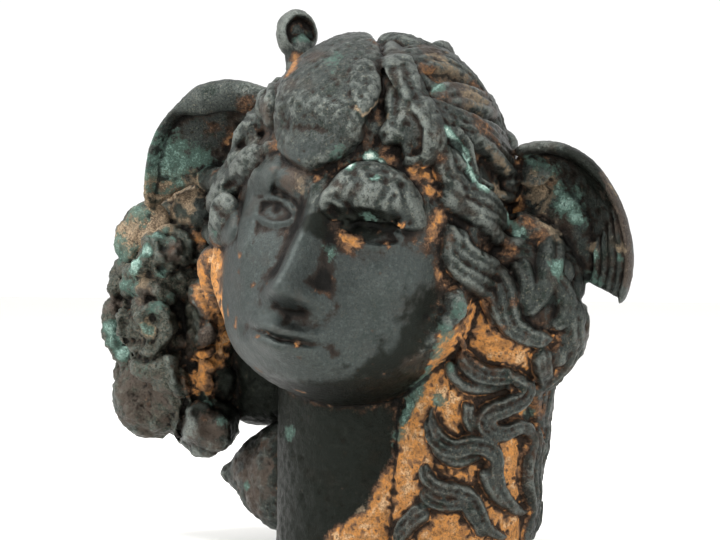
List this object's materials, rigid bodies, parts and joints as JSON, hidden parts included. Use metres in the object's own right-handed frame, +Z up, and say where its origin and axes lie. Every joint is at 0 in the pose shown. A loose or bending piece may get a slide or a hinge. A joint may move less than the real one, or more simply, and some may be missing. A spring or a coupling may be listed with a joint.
{
  "type": "cast head ornament",
  "caption": "Hollow-backed bronze head in high relief, winged, with a leaf topknot and waving locks, flat below and behind for standing or fixing.",
  "frame": {"origin": "middle of the whole box, on the flat underside", "axes": "+Z up, -Y the way the face looks, +X to the viewer's right, +Y out of the flat back"},
  "size_m": [0.1179, 0.0616, 0.1097],
  "materials": {
    "bronze": "cast bronze with a dark green-black patina, worn gilding in the hollows and pale verdigris"
  },
  "bodies": {
    "root": {"medusa_head": "bronze"}
  },
  "joints": []
}
